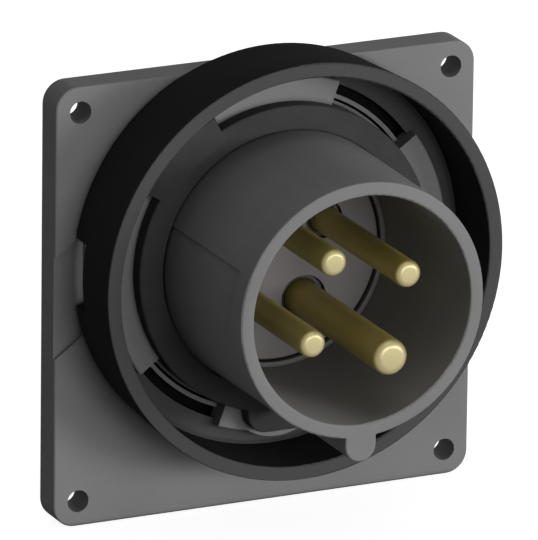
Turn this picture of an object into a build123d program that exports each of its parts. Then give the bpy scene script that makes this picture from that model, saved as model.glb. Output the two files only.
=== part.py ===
from build123d import *
import os
from math import cos, radians, sin

os.makedirs("parts", exist_ok=True)

# Panel-mounted power inlet. Millimetres. X runs to the viewer's right, Z up, and the front faces -Y.
# The origin is the centre of the fixing holes on the flange's rear face.
# Heights are measured forward from that face, so a height h lies at Y = -h.

# Shared positions and fits
AXIS_Z = 8.7
CLEARANCE = 0.3
RUNNING_FIT = 0.06
SEAT_FIT = 0.02
OVERLAP = 1.0
FULL_TURN = 360.0

# Flange plate
PLATE_T = 7.4
HOLE_SPACING = 88.0
HOLE_MARGIN = 5.7
PLATE_SIDE = HOLE_SPACING + 2 * HOLE_MARGIN
PLATE_CORNER_R = 5.0
PLATE_EDGE_R = 0.5
HOLE_R = 2.5

# Shallow recess at the plate's left edge, its ends on a slant
EDGE_RECESS_DEPTH = 0.9
EDGE_RECESS_WIDTH = 7.0
EDGE_RECESS_LOW = -10.9
EDGE_RECESS_HIGH = 12.2
EDGE_RECESS_RISE = 4.9

# Shroud tube and its key rib
RIM_H = 56.6
SHROUD_BORE_R = 25.5
SHROUD_WALL = 3.0
SHROUD_DRAFT = 0.5
SHROUD_RIM_R = SHROUD_BORE_R + SHROUD_WALL
SHROUD_ROOT_R = SHROUD_RIM_R + SHROUD_DRAFT
SHROUD_EDGE_R = 0.45
KEY_WIDTH = 7.2
KEY_OUT = 4.9
KEY_REACH = SHROUD_ROOT_R + KEY_OUT
KEY_CENTRE = KEY_REACH - KEY_WIDTH / 2
KEY_INNER = SHROUD_BORE_R + SHROUD_WALL / 2
SIDE_RECESS_DEPTH = 0.3
SIDE_RECESS_START = 158.0
SIDE_RECESS_SPAN = 80.0
SIDE_RECESS_SETBACK = 5.0

# Ledge, rear skirt and panel gasket groove
LEDGE_WIDTH = 1.0
LEDGE_R = SHROUD_BORE_R - LEDGE_WIDTH
LEDGE_TOP_H = 14.4
SKIRT_STEP = 2.0
SKIRT_WALL = 3.0
SKIRT_BORE_R = SHROUD_ROOT_R + SKIRT_STEP
SKIRT_OUTER_R = SKIRT_BORE_R + SKIRT_WALL
SKIRT_DEPTH = 11.0
GASKET_GROOVE_GAP = 1.5
GASKET_GROOVE_WIDTH = 3.0
GASKET_GROOVE_IN_R = SKIRT_OUTER_R + GASKET_GROOVE_GAP
GASKET_GROOVE_OUT_R = GASKET_GROOVE_IN_R + GASKET_GROOVE_WIDTH
GASKET_GROOVE_DEPTH = 2.0

# Locking ring
GASKET_WIDTH = 5.5
HUB_WALL = 4.4
RING_FLOOR_WIDTH = 4.75
RING_WALL = 1.95
RING_FLARE = 1.3
HUB_INNER_R = SHROUD_ROOT_R + GASKET_WIDTH
RING_BORE_R = HUB_INNER_R + HUB_WALL
RING_INNER_R = RING_BORE_R + RING_FLOOR_WIDTH
RING_BASE_R = RING_INNER_R + RING_WALL
RING_RIM_R = RING_BASE_R + RING_FLARE
RING_RIM_H = 28.7
RING_FLOOR_H = 11.3
RING_CHAMFER = 0.6
RING_EDGE_R = 0.45
RING_TRAVEL = 45.0
RING_NOTCH_DEPTH = 4.0
RING_NOTCH_TOP_H = 13.5
RING_NOTCH_START = 170.5
RING_NOTCH_SPAN = 19.5
LUG_DEPTH = 1.9
LUG_REACH = RING_BORE_R - LUG_DEPTH
LUG_SPAN = 8.0
LUG_END_GAP = 0.5
LUG_STARTS = (201.5, 21.5)
LUG_TRACK_GAP = 0.4
LUG_TRACK_R = LUG_REACH - LUG_TRACK_GAP

# Hub with the lips that hold the ring
HUB_ROOT_H = PLATE_T - OVERLAP
LIP_OVERHANG = 1.1
LIP_OUTER_R = RING_BORE_R + LIP_OVERHANG
LIP_BASE_H = RING_FLOOR_H + CLEARANCE
LIP_TOP_H = 14.3
LIP_EDGE_R = 0.35
LIP_SPANS = ((69.5, 46.0), (150.5, 65.0), (249.5, 46.0), (330.5, 65.0))
WINDOW_SPANS = ((35.5, 34.0), (215.5, 34.0))
WINDOW_WALL_T = 0.6
WINDOW_RIB_GAP = 0.6
WINDOW_RIB_T = 1.7
WINDOW_RIB_H = 10.6
WINDOW_WALL_R = HUB_INNER_R + WINDOW_WALL_T
WINDOW_RIB_IN_R = WINDOW_WALL_R + WINDOW_RIB_GAP
WINDOW_RIB_OUT_R = WINDOW_RIB_IN_R + WINDOW_RIB_T
BUMP_R = 12.0
BUMP_OVERHANG = 1.4
BUMP_CENTRE = LIP_OUTER_R + BUMP_OVERHANG - BUMP_R

# Shroud gasket
GASKET_FACE_H = 18.0
GASKET_EDGE_R = 0.5
GASKET_TAB_H = 18.9
GASKET_TAB_GAP = 0.4
GASKET_TAB_ROOT = 1.9
GASKET_TAB_R = RING_BORE_R - GASKET_TAB_GAP
GASKET_TAB_IN_R = HUB_INNER_R - GASKET_TAB_ROOT
GASKET_TAB_SPANS = ((117.5, 32.7), (297.5, 32.7))
KEY_TAB_WIDTH = 17.0
KEY_TAB_CORNER_R = 4.5
KEY_TAB_STEP = 0.55
KEY_TAB_LOW = RING_BORE_R - GASKET_TAB_GAP
KEY_TAB_HIGH = KEY_TAB_LOW + KEY_TAB_STEP
KEY_TAB_TOP = SHROUD_ROOT_R + OVERLAP

# Contacts
PIN_PITCH_R = 12.85
PHASE_ANGLES = (30, 120, 210)
EARTH_ANGLE = 300
PHASE_R = 3.0
PHASE_TIP_H = 56.0
PHASE_SHOULDER = 1.35
EARTH_R = 4.0
EARTH_TIP_H = 58.0
EARTH_SHOULDER = 1.8
PIN_SEAT_STEP = 0.3
COLLAR_STEP = 0.8
COLLAR_T = 2.0
TANG_END = 24.0
TANG_WIDTH = 5.2
TANG_T = 2.4

# Terminal cages and screws. The radial sizes run outward from the pin's own axis.
CAGE_HALF = 3.9
CAGE_WALL = 1.0
CAGE_IN = -7.3
CAGE_FLOOR = 1.5
CAGE_TOP_WALL = 2.6
CAGE_OUT = 4.3
CAGE_FRONT = 14.0
CAGE_REAR = 22.0
CAGE_EDGE_R = 0.5
SCREW_R = 2.0
SCREW_POS = 18.0
SCREW_TIP = 1.25
SCREW_HEAD_R = 3.3
SCREW_HEAD_IN = 9.45
SCREW_HEAD_OUT = 11.9
SCREW_SLOT_WIDTH = 1.0
SCREW_SLOT_LENGTH = 10.0
SCREW_SLOT_DEPTH = 1.1
SCREW_SEAT_GAP = 0.05

# Contact carrier
CARRIER_R = LEDGE_R - CLEARANCE
CARRIER_FACE_H = 13.55
CARRIER_EDGE = 0.4
CARRIER_FLANGE_R = SKIRT_BORE_R - CLEARANCE
CARRIER_FLANGE_T = 4.0
PIN_RECESS = 1.3
PIN_RECESS_DEPTH = 1.6

# Seal between carrier and housing
SEAL_GAP = 0.6
SEAL_WIDTH = 1.1
SEAL_T = 1.0
SEAL_IN_R = CARRIER_R + SEAL_GAP
SEAL_OUT_R = SEAL_IN_R + SEAL_WIDTH

# Terminal block, with a chamber open to the rear for each terminal
BLOCK_REAR = 30.0
BLOCK_FLANGE_T = 3.5
BLOCK_SIDE_WALL = 0.35
BLOCK_BODY_R = PIN_PITCH_R + SCREW_HEAD_OUT + BLOCK_SIDE_WALL
CHAMBER_FRONT = 9.0
CHAMBER_GAP = 0.4
CHAMBER_HALF = CAGE_HALF + CHAMBER_GAP
CHAMBER_IN = -7.7
CHAMBER_OUT = 8.6
BLOCK_FLANGE_REAR = CARRIER_FLANGE_T + BLOCK_FLANGE_T

# Screws that hold the block and the carrier in the housing
FIXING_ANGLES = (75, 165, 255, 345)
FIXING_HOLE_R = 1.5
FIXING_HOLE_DEPTH = 6.0
FIXING_SHANK_R = 1.45
FIXING_SHANK_TIP = 5.6
FIXING_HEAD_R = 2.6
FIXING_HEAD_T = 2.0
FIXING_SLOT_WIDTH = 0.8
FIXING_SLOT_LENGTH = 8.0
FIXING_SLOT_DEPTH = 0.9
FIXING_R = BLOCK_BODY_R + CLEARANCE + FIXING_HEAD_R

AXIS = Axis((0, 0, AXIS_Z), (0, -1, 0))


# Work planes
def front(height, z=AXIS_Z):
    """Plane facing the viewer, centred on the connector axis unless another z is given."""
    return Plane(origin=(0, -height, z), x_dir=(1, 0, 0), z_dir=(0, -1, 0))


def profile(angle=0.0):
    """Half plane through the connector axis: x is the radius at that angle, y the height."""
    a = radians(angle)
    return Plane(origin=(0, 0, AXIS_Z), x_dir=(cos(a), 0, sin(a)), z_dir=(sin(a), 0, -cos(a)))


def terminal_plane(angle, out):
    """Plane across a terminal screw: out mm outward of its pin, x along the circle, y forward."""
    a = radians(angle)
    r = PIN_PITCH_R + out
    return Plane(
        origin=(r * cos(a), 0, AXIS_Z + r * sin(a)), x_dir=(sin(a), 0, -cos(a)), z_dir=(cos(a), 0, sin(a))
    )


def on_circle(radius, angle):
    """Point on a circle about the connector axis, in a front plane."""
    return (radius * cos(radians(angle)), radius * sin(radians(angle)))


# Repeated shapes
def ring_sector(section, start=0.0, span=FULL_TURN):
    """Solid swept about the connector axis by a closed section of (radius, height) points."""
    with BuildPart() as swept:
        with BuildSketch(profile(start)):
            with BuildLine():
                Polyline(*section, close=True)
            make_face()
        revolve(axis=AXIS, revolution_arc=span)
    return swept.part


def box_section(r_in, r_out, low, high):
    """Rectangular section between two radii and two heights."""
    return ((r_in, low), (r_out, low), (r_out, high), (r_in, high))


def key_outline():
    """Outline of the key rib, in a front plane."""
    with BuildSketch() as outline:
        with Locations((0, -KEY_CENTRE)):
            Circle(KEY_WIDTH / 2)
        with Locations((0, -(KEY_CENTRE + KEY_INNER) / 2)):
            Rectangle(KEY_WIDTH, KEY_CENTRE - KEY_INNER)
    return outline.sketch


def key_tab(bottom, height, amount):
    """Block of the gasket round the key rib, reaching down to the given distance from the axis."""
    with BuildPart() as block:
        with BuildSketch(front(height)):
            with BuildLine():
                Polyline(
                    (-KEY_TAB_WIDTH / 2, -KEY_TAB_TOP),
                    (-KEY_TAB_WIDTH / 2, -bottom),
                    (KEY_TAB_WIDTH / 2, -bottom),
                    (KEY_TAB_WIDTH / 2, -KEY_TAB_TOP),
                    close=True,
                )
            face = make_face()
            fillet(face.vertices().group_by(Axis.Y)[0], radius=KEY_TAB_CORNER_R)
        extrude(amount=amount)
    return block.part


# Flange housing: plate, hub, lips, shroud tube, key rib and rear skirt in one moulding
with BuildPart() as flange_housing:
    with BuildSketch(front(0, 0)):
        RectangleRounded(PLATE_SIDE, PLATE_SIDE, PLATE_CORNER_R)
    extrude(amount=PLATE_T)
    fillet(flange_housing.faces().sort_by(Axis.Y)[0].edges(), radius=PLATE_EDGE_R)
    with BuildSketch(front(0, 0)):
        with GridLocations(HOLE_SPACING, HOLE_SPACING, 2, 2):
            Circle(HOLE_R)
        with Locations((0, AXIS_Z)):
            Circle(LEDGE_R)
    extrude(amount=PLATE_T, mode=Mode.SUBTRACT)

    # Groove for the panel gasket in the rear face
    with BuildSketch(front(0)):
        Circle(GASKET_GROOVE_OUT_R)
        Circle(GASKET_GROOVE_IN_R, mode=Mode.SUBTRACT)
    extrude(amount=GASKET_GROOVE_DEPTH, mode=Mode.SUBTRACT)

    # Shallow recess in the front face at the left edge
    with BuildSketch(front(PLATE_T - EDGE_RECESS_DEPTH, 0)):
        with BuildLine():
            Polyline(
                (-PLATE_SIDE / 2 - OVERLAP, EDGE_RECESS_LOW - OVERLAP),
                (-PLATE_SIDE / 2 - OVERLAP, EDGE_RECESS_HIGH - OVERLAP),
                (-PLATE_SIDE / 2 + EDGE_RECESS_WIDTH, EDGE_RECESS_HIGH + EDGE_RECESS_RISE),
                (-PLATE_SIDE / 2 + EDGE_RECESS_WIDTH, EDGE_RECESS_LOW + EDGE_RECESS_RISE),
                close=True,
            )
        make_face()
    extrude(amount=EDGE_RECESS_DEPTH, mode=Mode.SUBTRACT)

    # Hub walls and lips in the four gripped sectors
    for start, span in LIP_SPANS:
        add(
            ring_sector(
                (
                    (HUB_INNER_R, HUB_ROOT_H),
                    (RING_BORE_R - RUNNING_FIT, HUB_ROOT_H),
                    (RING_BORE_R - RUNNING_FIT, LIP_BASE_H),
                    (LIP_OUTER_R, LIP_BASE_H),
                    (LIP_OUTER_R, LIP_TOP_H - LIP_EDGE_R),
                    (LIP_OUTER_R - LIP_EDGE_R, LIP_TOP_H),
                    (HUB_INNER_R, LIP_TOP_H),
                ),
                start,
                span,
            )
        )
    with BuildSketch(front(LIP_BASE_H)):
        with Locations((0, -BUMP_CENTRE)):
            Circle(BUMP_R)
        Circle(HUB_INNER_R, mode=Mode.SUBTRACT)
    extrude(amount=LIP_TOP_H - LIP_BASE_H)

    # Low ribs of the two windows between the lips
    for start, span in WINDOW_SPANS:
        rib = box_section(WINDOW_RIB_IN_R, WINDOW_RIB_OUT_R, HUB_ROOT_H, WINDOW_RIB_H)
        add(ring_sector(rib, start, span))
        add(ring_sector(box_section(HUB_INNER_R, WINDOW_WALL_R, HUB_ROOT_H, WINDOW_RIB_H), start, span))

    # Tracks under the long lips, in which the ring's lugs run
    for lug_start in LUG_STARTS:
        add(
            ring_sector(
                box_section(LUG_TRACK_R, LIP_OUTER_R, PLATE_T, LIP_BASE_H),
                lug_start - RING_TRAVEL - LUG_END_GAP,
                LUG_SPAN + RING_TRAVEL + 2 * LUG_END_GAP,
            ),
            mode=Mode.SUBTRACT,
        )

    # Shroud tube, ledge and rear skirt
    with BuildSketch(profile()):
        with BuildLine():
            Polyline(
                (SKIRT_OUTER_R, -SKIRT_DEPTH),
                (SKIRT_OUTER_R, OVERLAP),
                (SHROUD_ROOT_R, OVERLAP),
                (SHROUD_ROOT_R, GASKET_FACE_H),
                (SHROUD_RIM_R, RIM_H),
                (SHROUD_BORE_R, RIM_H),
                (SHROUD_BORE_R, LEDGE_TOP_H),
                (LEDGE_R, LEDGE_TOP_H),
                (LEDGE_R, 0),
                (SKIRT_BORE_R, 0),
                (SKIRT_BORE_R, -SKIRT_DEPTH),
                close=True,
            )
        make_face()
    revolve(axis=AXIS)

    # Key rib along the bottom of the shroud
    with BuildSketch(front(HUB_ROOT_H)):
        add(key_outline())
    extrude(amount=RIM_H - HUB_ROOT_H)
    rim_edges = flange_housing.faces().sort_by(Axis.Y)[0].edges()
    fillet(rim_edges, radius=SHROUD_EDGE_R)

# Pocket in the lip for the gasket's block round the key
with BuildPart() as key_pocket:
    add(key_tab(KEY_TAB_HIGH, LIP_BASE_H, RIM_H - LIP_BASE_H))
    add(key_tab(KEY_TAB_LOW, PLATE_T, RIM_H - PLATE_T))
    with BuildSketch(front(PLATE_T)):
        Circle(HUB_INNER_R)
    extrude(amount=RIM_H - PLATE_T, mode=Mode.SUBTRACT)

# Shallow recess on the shroud's side
with BuildPart() as side_recess:
    add(
        ring_sector(
            (
                (SHROUD_ROOT_R - SIDE_RECESS_DEPTH, GASKET_FACE_H - OVERLAP),
                (SHROUD_ROOT_R + OVERLAP, GASKET_FACE_H - OVERLAP),
                (SHROUD_ROOT_R + OVERLAP, RIM_H - SIDE_RECESS_SETBACK),
                (SHROUD_RIM_R - SIDE_RECESS_DEPTH, RIM_H - SIDE_RECESS_SETBACK),
            ),
            SIDE_RECESS_START,
            SIDE_RECESS_SPAN,
        )
    )

# The housing with its pockets and screw holes
with BuildPart() as finished_housing:
    add(flange_housing.part)
    add(key_pocket.part, mode=Mode.SUBTRACT)
    add(side_recess.part, mode=Mode.SUBTRACT)
    with BuildSketch(front(0)):
        with Locations(*[on_circle(FIXING_R, angle) for angle in FIXING_ANGLES]):
            Circle(FIXING_HOLE_R)
    extrude(amount=FIXING_HOLE_DEPTH, mode=Mode.SUBTRACT)
finished_housing.part.label = "flange_housing"
export_step(finished_housing.part, "parts/flange_housing.step")

# Locking ring: a floor under the lips, a tall wall with a notch at its foot, and two lugs inside the bore
with BuildPart() as locking_ring:
    with BuildSketch(profile()):
        with BuildLine():
            Polyline(
                (RING_BORE_R, PLATE_T + CLEARANCE),
                (RING_BASE_R, PLATE_T + CLEARANCE),
                (RING_RIM_R, RING_RIM_H),
                (RING_INNER_R, RING_RIM_H),
                (RING_INNER_R, RING_FLOOR_H + RING_CHAMFER),
                (RING_INNER_R - RING_CHAMFER, RING_FLOOR_H),
                (RING_BORE_R, RING_FLOOR_H),
                close=True,
            )
        make_face()
    revolve(axis=AXIS)
    fillet(locking_ring.faces().sort_by(Axis.Y)[0].edges(), radius=RING_EDGE_R)
    add(
        ring_sector(
            box_section(RING_BASE_R - RING_NOTCH_DEPTH, RING_RIM_R, PLATE_T, RING_NOTCH_TOP_H),
            RING_NOTCH_START,
            RING_NOTCH_SPAN,
        ),
        mode=Mode.SUBTRACT,
    )
    for lug_start in LUG_STARTS:
        add(
            ring_sector(
                box_section(
                    LUG_REACH, RING_BORE_R + OVERLAP, PLATE_T + 2 * CLEARANCE, RING_FLOOR_H - CLEARANCE
                ),
                lug_start,
                LUG_SPAN,
            )
        )
locking_ring.part.label = "locking_ring"
export_step(locking_ring.part, "parts/locking_ring.step")

# Shroud gasket: a thick soft ring with two side tabs and a block round the key rib
with BuildPart() as shroud_gasket:
    add(ring_sector(box_section(SHROUD_ROOT_R, HUB_INNER_R, PLATE_T, GASKET_FACE_H)))
    add(key_tab(KEY_TAB_LOW, PLATE_T, GASKET_FACE_H - PLATE_T))
    add(key_tab(KEY_TAB_HIGH, LIP_BASE_H, GASKET_FACE_H - LIP_BASE_H))
    fillet(shroud_gasket.faces().sort_by(Axis.Y)[0].edges(), radius=GASKET_EDGE_R)
    for start, span in GASKET_TAB_SPANS:
        add(ring_sector(box_section(GASKET_TAB_IN_R, GASKET_TAB_R, PLATE_T, GASKET_TAB_H), start, span))
    with BuildSketch(front(PLATE_T)):
        add(key_outline())
    extrude(amount=GASKET_TAB_H, mode=Mode.SUBTRACT)
shroud_gasket.part.label = "shroud_gasket"
export_step(shroud_gasket.part, "parts/shroud_gasket.step")

# Panel gasket, flush in its groove as when the flange is screwed down
with BuildPart() as panel_gasket:
    with BuildSketch(front(0)):
        Circle(GASKET_GROOVE_OUT_R)
        Circle(GASKET_GROOVE_IN_R, mode=Mode.SUBTRACT)
    extrude(amount=GASKET_GROOVE_DEPTH)
panel_gasket.part.label = "panel_gasket"
export_step(panel_gasket.part, "parts/panel_gasket.step")

# Contact carrier: the disc behind the shroud's mouth, with its flange
all_pins = [(angle, PHASE_R) for angle in PHASE_ANGLES] + [(EARTH_ANGLE, EARTH_R)]
with BuildPart() as contact_carrier:
    with BuildSketch(profile()):
        with BuildLine():
            Polyline(
                (0, -CARRIER_FLANGE_T),
                (CARRIER_FLANGE_R, -CARRIER_FLANGE_T),
                (CARRIER_FLANGE_R, 0),
                (SEAL_OUT_R, 0),
                (SEAL_OUT_R, -SEAL_T),
                (SEAL_IN_R, -SEAL_T),
                (SEAL_IN_R, 0),
                (CARRIER_R, 0),
                (CARRIER_R, CARRIER_FACE_H - CARRIER_EDGE),
                (CARRIER_R - CARRIER_EDGE, CARRIER_FACE_H),
                (0, CARRIER_FACE_H),
                close=True,
            )
        make_face()
    revolve(axis=AXIS)
    for angle, pin_r in all_pins:
        with BuildSketch(front(-CARRIER_FLANGE_T)):
            with Locations(on_circle(PIN_PITCH_R, angle)):
                Circle(pin_r + PIN_SEAT_STEP + SEAT_FIT)
        extrude(amount=CARRIER_FLANGE_T + CARRIER_FACE_H, mode=Mode.SUBTRACT)
        with BuildSketch(front(CARRIER_FACE_H - PIN_RECESS_DEPTH)):
            with Locations(on_circle(PIN_PITCH_R, angle)):
                Circle(pin_r + PIN_RECESS)
        extrude(amount=PIN_RECESS_DEPTH, mode=Mode.SUBTRACT)
    with BuildSketch(front(-CARRIER_FLANGE_T)):
        with Locations(*[on_circle(FIXING_R, angle) for angle in FIXING_ANGLES]):
            Circle(FIXING_HOLE_R)
    extrude(amount=CARRIER_FLANGE_T, mode=Mode.SUBTRACT)
contact_carrier.part.label = "contact_carrier"
export_step(contact_carrier.part, "parts/contact_carrier.step")

# Terminal block: its front wall holds the contacts' collars, and its chambers are open to the rear
with BuildPart() as terminal_block:
    with BuildSketch(profile()):
        with BuildLine():
            Polyline(
                (0, -BLOCK_REAR),
                (BLOCK_BODY_R, -BLOCK_REAR),
                (BLOCK_BODY_R, -BLOCK_FLANGE_REAR),
                (CARRIER_FLANGE_R, -BLOCK_FLANGE_REAR),
                (CARRIER_FLANGE_R, -CARRIER_FLANGE_T),
                (0, -CARRIER_FLANGE_T),
                close=True,
            )
        make_face()
    revolve(axis=AXIS)
    for angle, pin_r in all_pins:
        # Chamber, passage for the tang and seat for the collar
        middle = PIN_PITCH_R + (CHAMBER_IN + CHAMBER_OUT) / 2
        with BuildSketch(front(-BLOCK_REAR)):
            with Locations(Location((*on_circle(middle, angle), 0), (0, 0, angle))):
                Rectangle(CHAMBER_OUT - CHAMBER_IN, 2 * CHAMBER_HALF)
        extrude(amount=BLOCK_REAR - CHAMBER_FRONT, mode=Mode.SUBTRACT)
        with BuildSketch(front(-CHAMBER_FRONT)):
            with Locations(Location((*on_circle(PIN_PITCH_R, angle), 0), (0, 0, angle))):
                Rectangle(TANG_T + 2 * SEAT_FIT, TANG_WIDTH + 2 * SEAT_FIT)
        extrude(amount=CHAMBER_FRONT - CARRIER_FLANGE_T, mode=Mode.SUBTRACT)
        with BuildSketch(front(-CARRIER_FLANGE_T - COLLAR_T)):
            with Locations(on_circle(PIN_PITCH_R, angle)):
                Circle(pin_r + PIN_SEAT_STEP + COLLAR_STEP + SEAT_FIT)
        extrude(amount=COLLAR_T, mode=Mode.SUBTRACT)

        # Screwdriver hole through the side and the seat of the screw's head
        with BuildSketch(terminal_plane(angle, SCREW_HEAD_IN - SCREW_SEAT_GAP)):
            with Locations((0, SCREW_POS)):
                Circle(SCREW_HEAD_R + RUNNING_FIT)
        extrude(amount=BLOCK_BODY_R, mode=Mode.SUBTRACT)
        with BuildSketch(terminal_plane(angle, 0)):
            with Locations((0, SCREW_POS)):
                Circle(SCREW_R + RUNNING_FIT)
        extrude(amount=BLOCK_BODY_R, mode=Mode.SUBTRACT)
    with BuildSketch(front(-BLOCK_FLANGE_REAR)):
        with Locations(*[on_circle(FIXING_R, angle) for angle in FIXING_ANGLES]):
            Circle(FIXING_HOLE_R)
    extrude(amount=BLOCK_FLANGE_T, mode=Mode.SUBTRACT)
terminal_block.part.label = "terminal_block"
export_step(terminal_block.part, "parts/terminal_block.step")

# Seal squeezed between the carrier's flange and the housing
with BuildPart() as carrier_seal:
    add(ring_sector(box_section(SEAL_IN_R, SEAL_OUT_R, -SEAL_T, 0)))
carrier_seal.part.label = "carrier_seal"
export_step(carrier_seal.part, "parts/carrier_seal.step")


# Contact pins: one turned and milled piece each, with a flat tang in the terminal
def contact_pin(angle, pin_r, tip_height, shoulder):
    """Pin with a rounded tip, a thicker seat, a collar behind the carrier and a flat tang for the wire."""
    with BuildPart() as pin:
        with BuildSketch(front(-CARRIER_FLANGE_T)):
            with Locations(on_circle(PIN_PITCH_R, angle)):
                Circle(pin_r)
        extrude(amount=CARRIER_FLANGE_T + tip_height)
        fillet(pin.faces().sort_by(Axis.Y)[0].edges(), radius=shoulder)
        with BuildSketch(front(-CARRIER_FLANGE_T)):
            with Locations(on_circle(PIN_PITCH_R, angle)):
                Circle(pin_r + PIN_SEAT_STEP)
        extrude(amount=CARRIER_FLANGE_T + CARRIER_FACE_H - PIN_RECESS_DEPTH)
        with BuildSketch(front(-CARRIER_FLANGE_T - COLLAR_T)):
            with Locations(on_circle(PIN_PITCH_R, angle)):
                Circle(pin_r + PIN_SEAT_STEP + COLLAR_STEP)
        extrude(amount=COLLAR_T)
        with BuildSketch(front(-TANG_END)):
            with Locations(Location((*on_circle(PIN_PITCH_R, angle), 0), (0, 0, angle))):
                Rectangle(TANG_T, TANG_WIDTH)
        extrude(amount=TANG_END - CARRIER_FLANGE_T)
    return pin.part


# Cage clamp that lifts the wire against the tang
def clamp_cage(angle):
    """Rectangular cage round the tang, threaded in its outer wall, drawn open."""
    with BuildPart() as cage:
        with BuildSketch(front(-CAGE_REAR)):
            with Locations(Location((*on_circle(PIN_PITCH_R, angle), 0), (0, 0, angle))):
                with Locations(((CAGE_IN + CAGE_OUT) / 2, 0)):
                    RectangleRounded(CAGE_OUT - CAGE_IN, 2 * CAGE_HALF, CAGE_EDGE_R)
                with Locations(((CAGE_IN + CAGE_FLOOR + CAGE_OUT - CAGE_TOP_WALL) / 2, 0)):
                    Rectangle(
                        CAGE_OUT - CAGE_TOP_WALL - CAGE_IN - CAGE_FLOOR,
                        2 * (CAGE_HALF - CAGE_WALL),
                        mode=Mode.SUBTRACT,
                    )
        extrude(amount=CAGE_REAR - CAGE_FRONT)
        with BuildSketch(terminal_plane(angle, 0)):
            with Locations((0, SCREW_POS)):
                Circle(SCREW_R + RUNNING_FIT)
        extrude(amount=BLOCK_BODY_R, mode=Mode.SUBTRACT)
    return cage.part


# Slotted screw that turns in place and draws the cage outward
def clamp_screw(angle):
    """Headed screw standing on the tang, its slot across the head."""
    with BuildPart() as screw:
        with BuildSketch(terminal_plane(angle, SCREW_TIP)):
            with Locations((0, SCREW_POS)):
                Circle(SCREW_R)
        extrude(amount=SCREW_HEAD_IN - SCREW_TIP)
        with BuildSketch(terminal_plane(angle, SCREW_HEAD_IN)):
            with Locations((0, SCREW_POS)):
                Circle(SCREW_HEAD_R)
        extrude(amount=SCREW_HEAD_OUT - SCREW_HEAD_IN)
        with BuildSketch(terminal_plane(angle, SCREW_HEAD_OUT - SCREW_SLOT_DEPTH)):
            with Locations((0, SCREW_POS)):
                Rectangle(SCREW_SLOT_LENGTH, SCREW_SLOT_WIDTH)
        extrude(amount=SCREW_SLOT_DEPTH, mode=Mode.SUBTRACT)
    return screw.part


for number, phase_angle in enumerate(PHASE_ANGLES, start=1):
    phase_pin = contact_pin(phase_angle, PHASE_R, PHASE_TIP_H, PHASE_SHOULDER)
    phase_pin.label = f"phase_pin_{number}"
    export_step(phase_pin, f"parts/phase_pin_{number}.step")
    phase_cage = clamp_cage(phase_angle)
    phase_cage.label = f"phase_cage_{number}"
    export_step(phase_cage, f"parts/phase_cage_{number}.step")
    phase_screw = clamp_screw(phase_angle)
    phase_screw.label = f"phase_screw_{number}"
    export_step(phase_screw, f"parts/phase_screw_{number}.step")

earth_pin = contact_pin(EARTH_ANGLE, EARTH_R, EARTH_TIP_H, EARTH_SHOULDER)
earth_pin.label = "earth_pin"
export_step(earth_pin, "parts/earth_pin.step")
earth_cage = clamp_cage(EARTH_ANGLE)
earth_cage.label = "earth_cage"
export_step(earth_cage, "parts/earth_cage.step")
earth_screw = clamp_screw(EARTH_ANGLE)
earth_screw.label = "earth_screw"
export_step(earth_screw, "parts/earth_screw.step")

# Four screws through the block's and the carrier's flanges into the housing
with BuildPart() as carrier_screws:
    for angle in FIXING_ANGLES:
        with BuildSketch(front(-BLOCK_FLANGE_REAR)):
            with Locations(on_circle(FIXING_R, angle)):
                Circle(FIXING_SHANK_R)
        extrude(amount=BLOCK_FLANGE_REAR + FIXING_SHANK_TIP)
        with BuildSketch(front(-BLOCK_FLANGE_REAR - FIXING_HEAD_T)):
            with Locations(on_circle(FIXING_R, angle)):
                Circle(FIXING_HEAD_R)
        extrude(amount=FIXING_HEAD_T)
        with BuildSketch(front(-BLOCK_FLANGE_REAR - FIXING_HEAD_T)):
            with Locations(Location((*on_circle(FIXING_R, angle), 0), (0, 0, angle))):
                Rectangle(FIXING_SLOT_LENGTH, FIXING_SLOT_WIDTH)
        extrude(amount=FIXING_SLOT_DEPTH, mode=Mode.SUBTRACT)
carrier_screws.part.label = "carrier_screws"
export_step(carrier_screws.part, "parts/carrier_screws.step")
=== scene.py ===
import math

import bmesh
import bpy
import numpy as np
from bpy.props import FloatProperty, FloatVectorProperty, IntProperty, PointerProperty
from bpy.types import Operator, Panel, PropertyGroup
from mathutils import Matrix, Vector


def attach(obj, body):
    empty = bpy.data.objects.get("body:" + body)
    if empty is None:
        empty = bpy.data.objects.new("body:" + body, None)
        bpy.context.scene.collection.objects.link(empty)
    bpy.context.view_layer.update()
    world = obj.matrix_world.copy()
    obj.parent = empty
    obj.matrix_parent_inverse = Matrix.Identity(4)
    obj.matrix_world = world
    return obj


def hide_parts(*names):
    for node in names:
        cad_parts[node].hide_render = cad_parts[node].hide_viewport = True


bl_info = {
    "name": "Panel Inlet Finish",
    "version": (1, 0, 0),
    "blender": (4, 5, 0),
    "location": "View3D > Sidebar > Inlet",
    "description": "Finishes a packed panel power inlet: mouldings, gaskets, contacts, terminals and stage",
    "category": "Object",
}

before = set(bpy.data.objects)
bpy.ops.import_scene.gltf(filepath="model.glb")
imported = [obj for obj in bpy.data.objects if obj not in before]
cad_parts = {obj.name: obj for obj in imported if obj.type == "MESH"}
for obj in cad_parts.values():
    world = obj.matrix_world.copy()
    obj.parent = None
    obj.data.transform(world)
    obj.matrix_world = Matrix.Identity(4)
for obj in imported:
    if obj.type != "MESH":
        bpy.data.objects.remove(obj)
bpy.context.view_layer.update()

# Lengths in metres. The connector's axis stands this far above the middle of the fixing holes.
MM = 0.001
AXIS_Z = 8.7 * MM
# Doubles closer than this are merged. Edges flatter than the flat angle are joined over, and those
# sharper than the sharp one are rounded.
MERGE_DISTANCE = 1e-6
FLAT_ANGLE = math.radians(0.4)
SHARP_ANGLE = math.radians(32)


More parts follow.
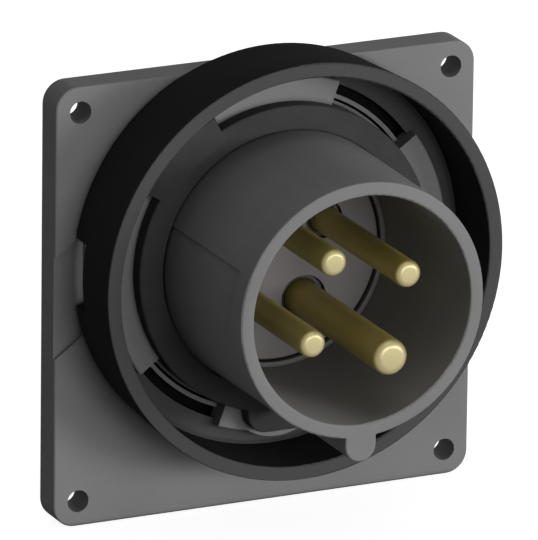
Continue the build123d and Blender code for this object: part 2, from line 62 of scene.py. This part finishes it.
class InletSizes(PropertyGroup):
    """Sizes a user may change."""

    moulding_edge: FloatProperty(
        name="Moulding edge",
        description="Rounding of the moulded edges",
        default=0.25 * MM,
        min=0.0,
        unit="LENGTH",
    )
    metal_edge: FloatProperty(
        name="Metal edge",
        description="Rounding of the stamped and turned edges",
        default=0.12 * MM,
        min=0.0,
        unit="LENGTH",
    )
    edge_segments: IntProperty(
        name="Edge segments",
        description="Faces across each rounded edge",
        default=2,
        min=1,
        max=6,
    )


class InletColours(PropertyGroup):
    """Colours a user may change."""

    housing: FloatVectorProperty(
        name="Housing",
        description="Grey of the flange and shroud moulding",
        subtype="COLOR",
        size=3,
        default=(0.20, 0.20, 0.20),
        min=0.0,
        max=1.0,
    )
    ring: FloatVectorProperty(
        name="Locking ring",
        description="Black of the locking ring",
        subtype="COLOR",
        size=3,
        default=(0.072, 0.072, 0.072),
        min=0.0,
        max=1.0,
    )
    gasket: FloatVectorProperty(
        name="Gasket",
        description="Black of the rubber",
        subtype="COLOR",
        size=3,
        default=(0.045, 0.045, 0.045),
        min=0.0,
        max=1.0,
    )
    carrier: FloatVectorProperty(
        name="Contact carrier",
        description="Dark grey of the contact carrier",
        subtype="COLOR",
        size=3,
        default=(0.215, 0.200, 0.205),
        min=0.0,
        max=1.0,
    )
    brass: FloatVectorProperty(
        name="Brass",
        description="Colour of the contacts",
        subtype="COLOR",
        size=3,
        default=(0.47, 0.39, 0.115),
        min=0.0,
        max=1.0,
    )
    # Paler brass painted on faces that face along the axis, a painted highlight on the contacts' tips
    tip_highlight_brass: FloatVectorProperty(
        name="Rubbed brass",
        description="Paler brass where the contacts' tips rub",
        subtype="COLOR",
        size=3,
        default=(0.38, 0.335, 0.175),
        min=0.0,
        max=1.0,
    )
    plated: FloatVectorProperty(
        name="Plated steel",
        description="Colour of the cages and screws",
        subtype="COLOR",
        size=3,
        default=(0.60, 0.60, 0.57),
        min=0.0,
        max=1.0,
    )


# Materials
# Painted shade in narrow gaps: how wide a gap gets it, and the level the colour falls to there
GAP_SHADE_REACH = 2.2 * MM
GAP_SHADE_DARK = 0.25
# Painted shade in the windows' slots: where they lie, from the axis and forward of the flange's rear face,
# and the level the colour falls to there
SLOT_RADII = (35.0 * MM, 38.9 * MM)
SLOT_HEIGHTS = (3.0 * MM, 9.4 * MM)
SLOT_SHADE_DARK = 0.05
# Painted shade where the contacts sit in the carrier: the heights it spans and the level the brass falls to
# there
SEAT_HEIGHTS = (-8.0 * MM, 12.4 * MM)
SEAT_SHADE_DARK = 0.12
# How softly the painted shade in slots and seats begins and ends
BAND_SOFT = 0.15 * MM


class Graph:
    """Short calls for building one material's node graph."""

    def __init__(self, name):
        self.material = bpy.data.materials.new(name)
        self.material.use_nodes = True
        self.tree = self.material.node_tree
        self.shader = self.tree.nodes["Principled BSDF"]
        coordinates = self.add("ShaderNodeTexCoord")
        self.place = coordinates.outputs["Object"]
        self.normal = coordinates.outputs["Normal"]

    def add(self, kind, **settings):
        """New node with its properties set."""
        node = self.tree.nodes.new(kind)
        for key, value in settings.items():
            setattr(node, key, value)
        return node

    def link(self, source, target):
        """Join an output to an input."""
        self.tree.links.new(source, target)

    def noise(self, waves, detail=3.0, rough=0.5, stretch=(1.0, 1.0, 1.0)):
        """Noise from 0 to 1 on object coordinates, in waves per metre, stretched along the axes."""
        mapping = self.add("ShaderNodeMapping")
        mapping.inputs["Scale"].default_value = stretch
        self.link(self.place, mapping.inputs["Vector"])
        texture = self.add("ShaderNodeTexNoise")
        texture.inputs["Scale"].default_value = waves
        texture.inputs["Detail"].default_value = detail
        texture.inputs["Roughness"].default_value = rough
        self.link(mapping.outputs["Vector"], texture.inputs["Vector"])
        return texture.outputs["Fac"]

    def spread(self, value, low, high, start=0.3, end=0.7):
        """Map start..end of a value to low..high."""
        node = self.add("ShaderNodeMapRange")
        node.inputs["From Min"].default_value = start
        node.inputs["From Max"].default_value = end
        node.inputs["To Min"].default_value = low
        node.inputs["To Max"].default_value = high
        self.link(value, node.inputs["Value"])
        return node.outputs["Result"]

    def times(self, a, b):
        """Product of two values."""
        node = self.add("ShaderNodeMath", operation="MULTIPLY")
        for value, socket in ((a, node.inputs[0]), (b, node.inputs[1])):
            if isinstance(value, float):
                socket.default_value = value
            else:
                self.link(value, socket)
        return node.outputs["Value"]

    def plus(self, a, b):
        """Sum of two values."""
        node = self.add("ShaderNodeMath", operation="ADD")
        self.link(a, node.inputs[0])
        self.link(b, node.inputs[1])
        return node.outputs["Value"]

    def edges(self, radius, wear):
        """Wear on edges: it grows with the angle between the normal and one rounded over a radius."""
        rounded = self.add("ShaderNodeBevel", samples=4)
        rounded.inputs["Radius"].default_value = radius
        true = self.add("ShaderNodeNewGeometry")
        dot = self.add("ShaderNodeVectorMath", operation="DOT_PRODUCT")
        self.link(rounded.outputs["Normal"], dot.inputs[0])
        self.link(true.outputs["Normal"], dot.inputs[1])
        return self.times(self.spread(dot.outputs["Value"], 1.0, 0.0, start=0.8, end=0.995), wear)

    def painted_gap_shade(self, distance, dark):
        """Painted shade: 1 in the open, falling to a dark level in narrow gaps that the given distance
        spans.
        """
        node = self.add("ShaderNodeAmbientOcclusion", samples=6)
        node.inputs["Distance"].default_value = distance
        return self.spread(node.outputs["AO"], dark, 1.0, start=0.25, end=0.75)

    def within(self, value, low, high):
        """1 where a value lies between two limits, falling softly to 0 outside them."""
        above = self.spread(value, 0.0, 1.0, start=low - BAND_SOFT, end=low)
        below = self.spread(value, 1.0, 0.0, start=high, end=high + BAND_SOFT)
        return self.times(above, below)

    def height(self):
        """Height in metres forward of the flange's rear face."""
        split = self.add("ShaderNodeSeparateXYZ")
        self.link(self.place, split.inputs[0])
        return self.times(split.outputs["Y"], -1.0)

    def radius(self):
        """Distance in metres from the connector's axis."""
        mapping = self.add("ShaderNodeMapping")
        mapping.inputs["Location"].default_value = (0.0, 0.0, -AXIS_Z)
        mapping.inputs["Scale"].default_value = (1.0, 0.0, 1.0)
        self.link(self.place, mapping.inputs["Vector"])
        size = self.add("ShaderNodeVectorMath", operation="LENGTH")
        self.link(mapping.outputs["Vector"], size.inputs[0])
        return size.outputs["Value"]

    def facing(self, side):
        """1 where the surface faces along the connector's axis, and a side level where it faces across."""
        split = self.add("ShaderNodeSeparateXYZ")
        self.link(self.normal, split.inputs[0])
        size = self.add("ShaderNodeMath", operation="ABSOLUTE")
        self.link(split.outputs["Y"], size.inputs[0])
        return self.spread(size.outputs["Value"], side, 1.0, start=0.25, end=0.8)

    def shade(self, colour, factor):
        """Colour times a factor."""
        node = self.add("ShaderNodeVectorMath", operation="SCALE")
        self.link(colour, node.inputs[0])
        self.link(factor, node.inputs["Scale"])
        return node.outputs["Vector"]

    def blend(self, colour, other, factor):
        """Colour that runs to the other one as the factor goes from 0 to 1."""
        node = self.add("ShaderNodeMix", data_type="RGBA")
        self.link(colour, node.inputs["A"])
        node.inputs["B"].default_value = (*other, 1.0)
        self.link(factor, node.inputs["Factor"])
        return node.outputs["Result"]

    def tint(self, colour, factor, light, dark):
        """Colour that runs from its darker to its lighter tone as the factor goes from 0 to 1."""
        node = self.add("ShaderNodeMix", data_type="RGBA")
        node.inputs["A"].default_value = (*[min(c * dark, 1.0) for c in colour], 1.0)
        node.inputs["B"].default_value = (*[min(c * light, 1.0) for c in colour], 1.0)
        self.link(factor, node.inputs["Factor"])
        return node.outputs["Result"]

    def bump(self, height, strength, distance):
        """Bump the surface by a height."""
        node = self.add("ShaderNodeBump")
        node.inputs["Strength"].default_value = strength
        node.inputs["Distance"].default_value = distance
        self.link(height, node.inputs["Height"])
        self.link(node.outputs["Normal"], self.shader.inputs["Normal"])

    def paint(self, colour):
        """Link the surface's colour."""
        self.link(colour, self.shader.inputs["Base Color"])

    def roughen(self, value, low, high, **span):
        """Link the surface's roughness, which runs from low to high with a value."""
        self.link(self.spread(value, low, high, **span), self.shader.inputs["Roughness"])

    def set(self, **constants):
        """Constants on the shader's own sockets, named with spaces as underscores."""
        for key, value in constants.items():
            self.shader.inputs[key.replace("_", " ")].default_value = value


def moulded_plastic(name, colour, grain=0.10, side=1.0, shaded_slots=False):
    """Matt moulded plastic: flow shading, a fine grain and lighter worn edges, with painted shade in narrow
    gaps, on faces across the axis and, if asked, in the windows' slots.
    """
    g = Graph(name)
    flow = g.noise(waves=38.0, detail=4.0, stretch=(1.0, 1.7, 1.0))
    speck = g.noise(waves=2600.0, detail=2.0)
    worn = g.edges(radius=0.35 * MM, wear=0.25)
    mottle = g.plus(g.spread(flow, low=0.32, high=0.52), g.spread(speck, low=-0.05, high=0.05))
    tone = g.plus(mottle, worn)
    # Painted shade: darker in narrow gaps and, to the side level, on faces across the axis
    level = g.times(g.painted_gap_shade(GAP_SHADE_REACH, GAP_SHADE_DARK), g.facing(side))
    # Painted shade in the windows' slots
    if shaded_slots:
        slot_shade = g.times(g.within(g.radius(), *SLOT_RADII), g.within(g.height(), *SLOT_HEIGHTS))
        level = g.times(level, g.spread(slot_shade, low=1.0, high=SLOT_SHADE_DARK, start=0.0, end=1.0))
    g.paint(g.shade(g.tint(colour, tone, light=1.35, dark=0.78), level))
    g.roughen(g.plus(flow, g.times(speck, 0.3)), low=0.49, high=0.63, start=0.4, end=0.9)
    g.bump(speck, strength=grain, distance=0.05 * MM)
    g.set(Specular_IOR_Level=0.0)
    return g.material


def rubber(name, colour):
    """Matt rubber: dusty patches, fine pores and a faint sheen."""
    g = Graph(name)
    dust = g.noise(waves=70.0, detail=5.0, rough=0.6)
    pore = g.noise(waves=3800.0, detail=2.0)
    tone = g.plus(g.spread(dust, low=0.3, high=0.6), g.edges(radius=0.4 * MM, wear=0.35))
    g.paint(g.tint(colour, tone, light=1.8, dark=0.6))
    g.roughen(dust, low=0.62, high=0.78)
    g.bump(pore, strength=0.12, distance=0.04 * MM)
    g.set(Specular_IOR_Level=0.0, Sheen_Weight=0.03, Sheen_Roughness=0.6)
    return g.material


def turned_brass(name, colour, tip_highlight_colour):
    """Turned brass: rings round the shank, tarnish, bright edges, a painted highlight of paler brass on
    faces along the axis, and painted shade where the contact sits in the carrier.
    """
    g = Graph(name)
    tarnish = g.noise(waves=120.0, detail=4.0)
    turning = g.noise(waves=60.0, detail=5.0, rough=0.7, stretch=(1.0, 60.0, 1.0))
    tone = g.plus(g.spread(tarnish, low=0.3, high=0.55), g.edges(radius=0.3 * MM, wear=0.4))
    # Painted shade: darker where the contact sits in the carrier
    seat_shade = g.spread(g.within(g.height(), *SEAT_HEIGHTS), low=1.0, high=SEAT_SHADE_DARK, start=0.0, end=1.0)
    # Painted highlight: faces along the axis run to the paler brass
    highlighted_tips = g.blend(g.tint(colour, tone, light=1.25, dark=0.72), tip_highlight_colour, g.facing(side=0.0))
    g.paint(g.shade(highlighted_tips, seat_shade))
    g.roughen(turning, low=0.36, high=0.50)
    g.bump(turning, strength=0.10, distance=0.03 * MM)
    g.set(Metallic=0.55, Specular_IOR_Level=0.3)
    return g.material


def plated_steel(name, colour):
    """Zinc-plated steel: cloudy plating, fine drawing marks and bright edges."""
    g = Graph(name)
    cloud = g.noise(waves=300.0, detail=4.0)
    marks = g.noise(waves=500.0, detail=3.0, stretch=(8.0, 1.0, 8.0))
    tone = g.plus(g.spread(cloud, low=0.3, high=0.6), g.edges(radius=0.25 * MM, wear=0.3))
    g.paint(g.tint(colour, tone, light=1.2, dark=0.7))
    g.roughen(marks, low=0.30, high=0.48)
    g.bump(marks, strength=0.08, distance=0.02 * MM)
    g.set(Metallic=1.0)
    return g.material


def finish(kind):
    """The named finish, made once from the chosen colours."""
    name = kind + "_finish"
    made = bpy.data.materials.get(name)
    if made:
        return made
    colours = bpy.context.scene.inlet_colours
    makers = {
        # The housing has painted shade in its windows' slots
        "housing_grey": lambda: moulded_plastic(name, colours.housing, shaded_slots=True),
        # The ring's faces across the axis get painted shade, 0.35 of its colour
        "ring_black": lambda: moulded_plastic(name, colours.ring, grain=0.06, side=0.35),
        "gasket_black": lambda: rubber(name, colours.gasket),
        "carrier_grey": lambda: moulded_plastic(name, colours.carrier),
        "pin_brass": lambda: turned_brass(name, colours.brass, colours.tip_highlight_brass),
        "cage_steel": lambda: plated_steel(name, colours.plated),
        "screw_steel": lambda: plated_steel(name, colours.plated),
    }
    return makers[kind]()


# Pieces made from the frame's own solids
# The windows' ribs: the angles between which they lie, in degrees, their outer radius and the thinner one
RIB_ANGLES = ((35.0, 70.0), (215.0, 250.0))
RIB_OUTER_R = 37.4 * MM
RIB_THIN_R = 36.6 * MM
RIB_TOLERANCE = 0.03 * MM


def merged_solid(node):
    """Vertices and faces of a CAD node with its doubles merged and its flat faces joined."""
    bm = bmesh.new()
    bm.from_mesh(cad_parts[node].data)
    bmesh.ops.remove_doubles(bm, verts=bm.verts, dist=MERGE_DISTANCE)
    bmesh.ops.dissolve_limit(
        bm, angle_limit=FLAT_ANGLE, use_dissolve_boundaries=False, verts=bm.verts, edges=bm.edges
    )
    bm.verts.index_update()
    points = [tuple(v.co) for v in bm.verts]
    faces = [[v.index for v in f.verts] for f in bm.faces]
    bm.free()
    return points, faces


def settle(mesh, kind, body, node):
    """Put a finished mesh in the scene with its material, on its body, in place of its CAD node."""
    piece = bpy.data.objects.new(mesh.name, mesh)
    bpy.context.scene.collection.objects.link(piece)
    mesh.materials.append(finish(kind))
    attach(piece, body)
    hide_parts(node)
    return piece


def soften(piece, width, segments):
    """Round the piece's edges and keep its flat faces flat."""
    bevel = piece.modifiers.new("rounded edges", "BEVEL")
    bevel.width = width
    bevel.segments = segments
    bevel.limit_method = "ANGLE"
    bevel.angle_limit = SHARP_ANGLE
    bevel.use_clamp_overlap = True
    bevel.harden_normals = True
    bevel.miter_outer = "MITER_ARC"


def narrow_ribs(points):
    """The housing's points, with the outer wall of the windows' ribs drawn in.

    A point near the ribs' outer radius and between their angles keeps its angle round the axis, while its
    distance from the axis is multiplied by the thinner radius over that distance.
    """
    points = np.array(points)
    across, up = points[:, 0], points[:, 2] - AXIS_Z
    radius = np.hypot(across, up)
    angle = np.degrees(np.arctan2(up, across)) % 360.0
    in_window = np.zeros(len(points), dtype=bool)
    for start, end in RIB_ANGLES:
        in_window |= (angle > start) & (angle < end)
    chosen = in_window & (np.abs(radius - RIB_OUTER_R) < RIB_TOLERANCE)
    scale = np.where(chosen, RIB_THIN_R / np.maximum(radius, RIB_TOLERANCE), 1.0)
    points[:, 0] = across * scale
    points[:, 2] = AXIS_Z + up * scale
    return points.tolist()


def dress(node, kind, body, width):
    """A rounded copy of a CAD node in its own finish."""
    points, faces = merged_solid(node)
    if node == "flange_housing":
        points = narrow_ribs(points)
    mesh = bpy.data.meshes.new(node + "_finished")
    mesh.from_pydata(points, [], faces)
    mesh.shade_smooth()
    mesh.set_sharp_from_angle(angle=SHARP_ANGLE)
    piece = settle(mesh, kind, body, node)
    soften(piece, width, bpy.context.scene.inlet_sizes.edge_segments)


class INLET_OT_housing(Operator):
    """Finish the flange housing, the contact carrier and the terminal block"""

    bl_idname = "inlet.housing"
    bl_label = "Housing and Carrier"

    def execute(self, context):
        edge = context.scene.inlet_sizes.moulding_edge
        dress("flange_housing", "housing_grey", "housing", edge)
        dress("contact_carrier", "carrier_grey", "housing", edge)
        dress("terminal_block", "carrier_grey", "housing", edge)
        return {"FINISHED"}


class INLET_OT_ring(Operator):
    """Finish the locking ring"""

    bl_idname = "inlet.ring"
    bl_label = "Locking Ring"

    def execute(self, context):
        dress("locking_ring", "ring_black", "ring", context.scene.inlet_sizes.moulding_edge)
        return {"FINISHED"}


class INLET_OT_gaskets(Operator):
    """Finish the shroud gasket, the panel gasket and the carrier seal"""

    bl_idname = "inlet.gaskets"
    bl_label = "Gaskets"

    def execute(self, context):
        edge = context.scene.inlet_sizes.moulding_edge
        for node in ("shroud_gasket", "panel_gasket", "carrier_seal"):
            dress(node, "gasket_black", "housing", edge)
        return {"FINISHED"}


class INLET_OT_contacts(Operator):
    """Finish the brass contacts"""

    bl_idname = "inlet.contacts"
    bl_label = "Contacts"

    def execute(self, context):
        edge = context.scene.inlet_sizes.metal_edge
        for node in ("phase_pin_1", "phase_pin_2", "phase_pin_3", "earth_pin"):
            dress(node, "pin_brass", "housing", edge)
        return {"FINISHED"}


class INLET_OT_terminals(Operator):
    """Finish the clamp cages, the terminal screws and the carrier screws"""

    bl_idname = "inlet.terminals"
    bl_label = "Terminals"

    def execute(self, context):
        edge = context.scene.inlet_sizes.metal_edge
        for tail in ("phase_{}_1", "phase_{}_2", "phase_{}_3", "earth_{}"):
            cage, screw = tail.format("cage"), tail.format("screw")
            dress(cage, "cage_steel", cage + "_body", edge)
            dress(screw, "screw_steel", screw + "_body", edge)
        dress("carrier_screws", "screw_steel", "housing", edge)
        return {"FINISHED"}


# Stage
# Camera's place, its angles, its lens and sensor in millimetres and how far it sees
CAMERA_PLACE = (-0.90496, -1.93011, 0.69698)
CAMERA_AZIMUTH = math.radians(-25.228)
CAMERA_ELEVATION = math.radians(18.084)
CAMERA_ROLL = math.radians(0.746)
CAMERA_LENS = 687.86
CAMERA_SENSOR = 36.0
CAMERA_REACH = 50.0
# Floor's height and half its side, its grey, the strength at which it shows white, and its roughness
FLOOR_Z = -0.0498
FLOOR_HALF = 4.0
FLOOR_GREY = 0.35
FLOOR_GLOW = 0.90
FLOOR_ROUGHNESS = 0.9
# World's light, and the lamps' side, the point they aim at and each one's place and power in watts
AMBIENT = 0.20
LAMP_SIZE = 0.8
LAMP_AIM = (0, -0.03, 0.01)
LAMPS = (
    ("low_lamp", (1.2, -1.6, -0.02), 36.0),
    ("front_lamp", (0.1, -2.0, 0.25), 18.0),
    ("top_lamp", (0.1, -0.6, 1.7), 3.0),
    ("rear_lamp", (0.9, 1.5, 0.20), 34.0),
)


def photo_camera():
    """Camera at the photograph's place, turned by azimuth, elevation and roll."""
    data = bpy.data.cameras.new("photo_camera")
    data.lens = CAMERA_LENS
    data.sensor_width = CAMERA_SENSOR
    data.clip_end = CAMERA_REACH
    camera = bpy.data.objects.new("photo_camera", data)
    bpy.context.scene.collection.objects.link(camera)
    away = Vector(
        (
            math.sin(CAMERA_AZIMUTH) * math.cos(CAMERA_ELEVATION),
            -math.cos(CAMERA_AZIMUTH) * math.cos(CAMERA_ELEVATION),
            math.sin(CAMERA_ELEVATION),
        )
    )
    turn = (-away).to_track_quat("-Z", "Y").to_matrix().to_4x4()
    camera.matrix_world = Matrix.Translation(CAMERA_PLACE) @ turn @ Matrix.Rotation(CAMERA_ROLL, 4, "Z")
    bpy.context.scene.camera = camera


def soft_lamp(name, place, power):
    """Square lamp aimed at the middle of the inlet."""
    data = bpy.data.lights.new(name, "AREA")
    data.size = LAMP_SIZE
    data.energy = power
    lamp = bpy.data.objects.new(name, data)
    bpy.context.scene.collection.objects.link(lamp)
    lamp.location = place
    lamp.rotation_euler = (Vector(LAMP_AIM) - Vector(place)).to_track_quat("-Z", "Y").to_euler()


def seen_rays(tree):
    """1 for rays from the camera, in mirrors and through glass, and 0 for light that falls on things."""
    path = tree.nodes.new("ShaderNodeLightPath")
    value = path.outputs["Is Camera Ray"]
    for name in ("Is Glossy Ray", "Is Transmission Ray"):
        node = tree.nodes.new("ShaderNodeMath")
        node.operation = "MAXIMUM"
        tree.links.new(value, node.inputs[0])
        tree.links.new(path.outputs[name], node.inputs[1])
        value = node.outputs["Value"]
    return value


def pale_floor():
    """Pale floor that keeps a soft shadow and shows white to the camera."""
    material = bpy.data.materials.new("floor_white")
    material.use_nodes = True
    tree = material.node_tree
    shader = tree.nodes["Principled BSDF"]
    shader.inputs["Base Color"].default_value = (FLOOR_GREY, FLOOR_GREY, FLOOR_GREY, 1.0)
    shader.inputs["Roughness"].default_value = FLOOR_ROUGHNESS
    shader.inputs["Specular IOR Level"].default_value = 0.0
    shader.inputs["Emission Color"].default_value = (1.0, 1.0, 1.0, 1.0)
    strength = tree.nodes.new("ShaderNodeMath")
    strength.operation = "MULTIPLY"
    strength.inputs[1].default_value = FLOOR_GLOW
    tree.links.new(seen_rays(tree), strength.inputs[0])
    tree.links.new(strength.outputs["Value"], shader.inputs["Emission Strength"])
    mesh = bpy.data.meshes.new("floor")
    mesh.from_pydata(
        [(x * FLOOR_HALF, y * FLOOR_HALF, FLOOR_Z) for x, y in ((-1, -1), (1, -1), (1, 1), (-1, 1))],
        [],
        [(0, 1, 2, 3)],
    )
    mesh.materials.append(material)
    floor = bpy.data.objects.new("floor", mesh)
    bpy.context.scene.collection.objects.link(floor)


def pale_world():
    """White world to the camera and to reflections, soft grey light to everything else."""
    world = bpy.data.worlds.new("soft_white")
    world.use_nodes = True
    tree = world.node_tree
    background = tree.nodes["Background"]
    level = tree.nodes.new("ShaderNodeMapRange")
    level.inputs["To Min"].default_value = AMBIENT
    level.inputs["To Max"].default_value = 1.0
    tree.links.new(seen_rays(tree), level.inputs["Value"])
    tree.links.new(level.outputs["Result"], background.inputs["Strength"])
    background.inputs["Color"].default_value = (1.0, 1.0, 1.0, 1.0)
    bpy.context.scene.world = world


class INLET_OT_stage(Operator):
    """Set up the floor, world, lamps and camera"""

    bl_idname = "inlet.stage"
    bl_label = "Stage"

    def execute(self, context):
        context.scene.view_settings.view_transform = "Standard"
        pale_world()
        pale_floor()
        for lamp in LAMPS:
            soft_lamp(*lamp)
        photo_camera()
        return {"FINISHED"}


class INLET_PT_finish(Panel):
    """Steps that finish the inlet, in order"""

    bl_label = "Panel Inlet"
    bl_idname = "INLET_PT_finish"
    bl_space_type = "VIEW_3D"
    bl_region_type = "UI"
    bl_category = "Inlet"

    def draw(self, context):
        for group in (context.scene.inlet_sizes, context.scene.inlet_colours):
            for name in group.__annotations__:
                self.layout.prop(group, name)
        for step in STEPS:
            self.layout.operator(step.bl_idname)


STEPS = (
    INLET_OT_stage,
    INLET_OT_housing,
    INLET_OT_ring,
    INLET_OT_gaskets,
    INLET_OT_contacts,
    INLET_OT_terminals,
)
CLASSES = (InletSizes, InletColours, *STEPS, INLET_PT_finish)


def register():
    for cls in CLASSES:
        bpy.utils.register_class(cls)
    bpy.types.Scene.inlet_sizes = PointerProperty(type=InletSizes)
    bpy.types.Scene.inlet_colours = PointerProperty(type=InletColours)


def unregister():
    del bpy.types.Scene.inlet_colours
    del bpy.types.Scene.inlet_sizes
    for cls in reversed(CLASSES):
        bpy.utils.unregister_class(cls)


def main():
    register()
    for step in STEPS:
        group, name = step.bl_idname.split(".")
        getattr(getattr(bpy.ops, group), name)()
    bpy.context.view_layer.update()


if __name__ == "__main__":
    main()
